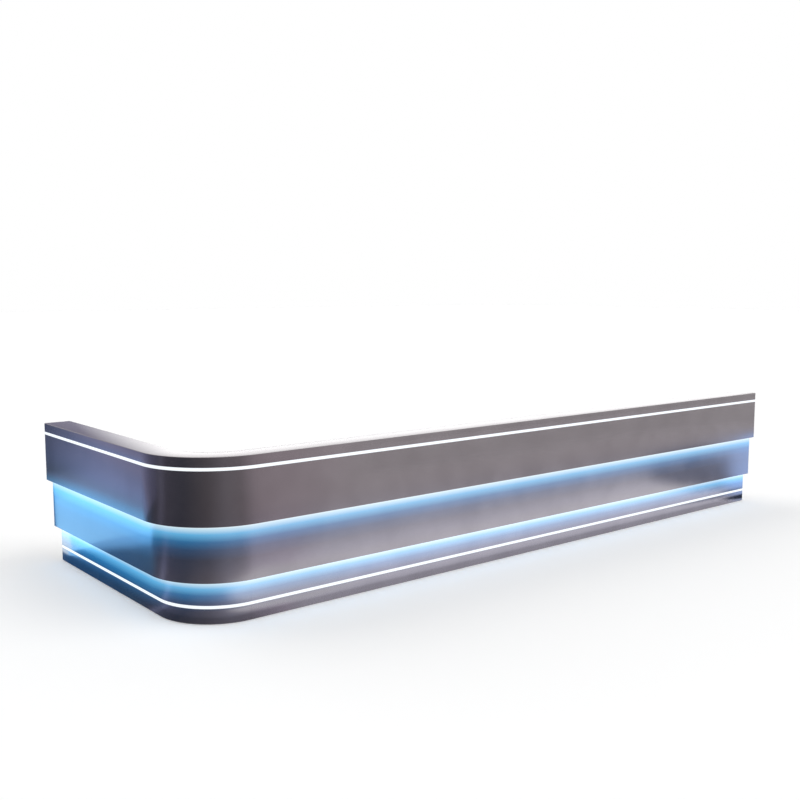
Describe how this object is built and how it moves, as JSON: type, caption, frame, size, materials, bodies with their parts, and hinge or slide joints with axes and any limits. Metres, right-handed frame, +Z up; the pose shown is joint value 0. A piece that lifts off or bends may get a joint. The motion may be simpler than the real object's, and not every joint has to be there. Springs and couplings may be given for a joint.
{
  "type": "bar counter",
  "caption": "L-shaped bar counter with a rounded corner, a stepped dark lacquer front with light lines and lit coves, and a staff side with worktop, drawers, cupboard and shelves.",
  "frame": {"origin": "on the floor, at the centre of the counter's plan", "axes": "+X along the front arm away from the corner, +Y from the customers' side to the staff side, +Z up"},
  "size_m": [6.22, 2.265, 1.1],
  "materials": {
    "panel_lacquer": "dark grey gloss lacquer on board",
    "frame_plywood": "bare plywood",
    "cove_white": "matt white paint",
    "white_melamine": "white melamine-faced board",
    "front_melamine": "white melamine-faced board",
    "kick_laminate": "dark grey laminate",
    "worktop_laminate": "grey laminate",
    "drawer_plywood": "birch plywood",
    "line_lens": "opal lens, lit white",
    "cove_lens": "opal lens, lit cold white",
    "tape": "light tape",
    "channel_aluminium": "anodised channel",
    "driver_case": "driver case",
    "plated_steel": "zinc plate",
    "handle_steel": "brushed",
    "black_plastic": "moulded black",
    "switch_white": "moulded white"
  },
  "bodies": {
    "counter": {"upper_fascia_front": "panel_lacquer", "upper_fascia_corner": "panel_lacquer", "upper_fascia_side": "panel_lacquer", "middle_panel_front": "panel_lacquer", "middle_panel_corner": "panel_lacquer", "middle_panel_side": "panel_lacquer", "base_panel_front": "panel_lacquer", "base_panel_corner": "panel_lacquer", "base_panel_side": "panel_lacquer", "ledge_cap_front": "panel_lacquer", "ledge_cap_corner": "panel_lacquer", "ledge_cap_side": "panel_lacquer", "right_end_panel": "panel_lacquer", "side_end_panel": "panel_lacquer", "wall_ribs": "frame_plywood", "sole_plates": "frame_plywood", "worktop_battens": "frame_plywood", "cove_soffits": "cove_white", "staff_lining": "white_melamine", "cupboard_carcass": "white_melamine", "pedestal_carcass": "white_melamine", "shelf_unit_carcass": "white_melamine", "side_unit_carcass": "white_melamine", "unit_shelves": "white_melamine", "corner_fillers": "white_melamine", "driver_hatch": "white_melamine", "kick_boards": "kick_laminate", "worktop_corner": "worktop_laminate", "worktop_front_left": "worktop_laminate", "worktop_front_right": "worktop_laminate", "worktop_side": "worktop_laminate", "line_light_lenses": "line_lens", "cove_light_lenses": "cove_lens", "led_tapes": "tape", "led_channels": "channel_aluminium", "led_drivers": "driver_case", "drawer_runners": "plated_steel", "levelling_feet": "plated_steel", "door_pivots": "plated_steel", "hatch_screws": "plated_steel", "cable_bushes": "black_plastic", "unit_glides": "black_plastic", "switch_plate": "switch_white"},
    "top_drawer": {"top_drawer_front": "front_melamine", "top_drawer_box": "drawer_plywood", "top_drawer_handle": "handle_steel", "top_drawer_rails": "plated_steel"},
    "middle_drawer": {"middle_drawer_front": "front_melamine", "middle_drawer_box": "drawer_plywood", "middle_drawer_handle": "handle_steel", "middle_drawer_rails": "plated_steel"},
    "bottom_drawer": {"bottom_drawer_front": "front_melamine", "bottom_drawer_box": "drawer_plywood", "bottom_drawer_handle": "handle_steel", "bottom_drawer_rails": "plated_steel"},
    "left_door": {"left_door": "front_melamine", "left_door_handle": "handle_steel"},
    "right_door": {"right_door": "front_melamine", "right_door_handle": "handle_steel"},
    "light_switch": {"switch_rocker": "switch_white"}
  },
  "joints": [
    {"name": "top_drawer_slide", "type": "slide", "parent": "counter", "child": "top_drawer", "axis": [0, 1, 0], "range_m": [0, 0.34]},
    {"name": "middle_drawer_slide", "type": "slide", "parent": "counter", "child": "middle_drawer", "axis": [0, 1, 0], "range_m": [0, 0.34]},
    {"name": "bottom_drawer_slide", "type": "slide", "parent": "counter", "child": "bottom_drawer", "axis": [0, 1, 0], "range_m": [0, 0.34]},
    {"name": "left_door_hinge", "type": "hinge", "parent": "counter", "child": "left_door", "pos_m": [-2.277, -0.4395, 0.4125], "axis": [0, 0, 1], "range_deg": [0, 95]},
    {"name": "right_door_hinge", "type": "hinge", "parent": "counter", "child": "right_door", "pos_m": [-1.663, -0.4395, 0.4125], "axis": [0, 0, -1], "range_deg": [0, 95]},
    {"name": "light_switch_rock", "type": "hinge", "parent": "counter", "child": "light_switch", "pos_m": [-1.62567, -0.9265, 0.9125], "axis": [1, 0, 0], "range_deg": [-10, 0]}
  ]
}
